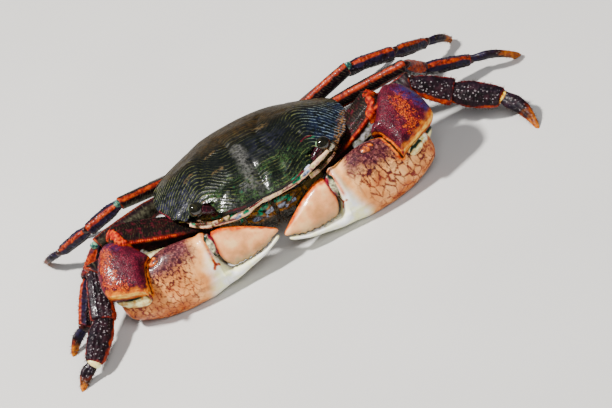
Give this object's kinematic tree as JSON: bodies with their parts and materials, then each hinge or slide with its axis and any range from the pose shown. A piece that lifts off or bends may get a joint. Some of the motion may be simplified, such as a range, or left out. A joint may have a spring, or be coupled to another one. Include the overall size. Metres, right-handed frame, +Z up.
{
  "type": "striped shore crab",
  "caption": "Large striped shore crab, life size, standing on spread walking legs with both big claws folded in front of its mouth.",
  "frame": {"origin": "on the floor, under the middle of the crab's outer box", "axes": "+X towards the crab's own left, +Y towards its rear, +Z up"},
  "size_m": [0.1004, 0.052, 0.0167],
  "materials": {
    "carapace": "wet, polished shell",
    "underside": "dull, smooth shell",
    "stalk": "wet, smooth shell",
    "eye": "polished, wet cornea",
    "antenna": "dull, jointed feeler",
    "mouth": "wet, finely hairy plate",
    "palm": "smooth, glossy shell",
    "finger": "smooth, glossy shell",
    "carpus": "glossy, finely mottled shell",
    "arm": "striated shell",
    "leg": "granular, wet shell",
    "dactyl": "smooth, horny shell"
  },
  "bodies": {
    "root": {"carapace": "carapace", "thorax": "underside", "abdomen": "underside", "eyestalk_left": "stalk", "eye_left": "eye", "antenna_left": "antenna", "mouth_plate_left": "mouth", "claw_palm_left": "palm", "claw_finger_left": "finger", "claw_carpus_left": "carpus", "claw_arm_left": "arm", "leg_1_merus_left": "leg", "leg_1_carpus_left": "leg", "leg_1_propodus_left": "leg", "leg_1_dactyl_left": "dactyl", "leg_2_merus_left": "leg", "leg_2_carpus_left": "leg", "leg_2_propodus_left": "leg", "leg_2_dactyl_left": "dactyl", "leg_3_merus_left": "leg", "leg_3_carpus_left": "leg", "leg_3_propodus_left": "leg", "leg_3_dactyl_left": "dactyl", "leg_4_merus_left": "leg", "leg_4_carpus_left": "leg", "leg_4_propodus_left": "leg", "leg_4_dactyl_left": "dactyl", "eyestalk_right": "stalk", "eye_right": "eye", "antenna_right": "antenna", "mouth_plate_right": "mouth", "claw_palm_right": "palm", "claw_finger_right": "finger", "claw_carpus_right": "carpus", "claw_arm_right": "arm", "leg_1_merus_right": "leg", "leg_1_carpus_right": "leg", "leg_1_propodus_right": "leg", "leg_1_dactyl_right": "dactyl", "leg_2_merus_right": "leg", "leg_2_carpus_right": "leg", "leg_2_propodus_right": "leg", "leg_2_dactyl_right": "dactyl", "leg_3_merus_right": "leg", "leg_3_carpus_right": "leg", "leg_3_propodus_right": "leg", "leg_3_dactyl_right": "dactyl", "leg_4_merus_right": "leg", "leg_4_carpus_right": "leg", "leg_4_propodus_right": "leg", "leg_4_dactyl_right": "dactyl"}
  },
  "joints": []
}
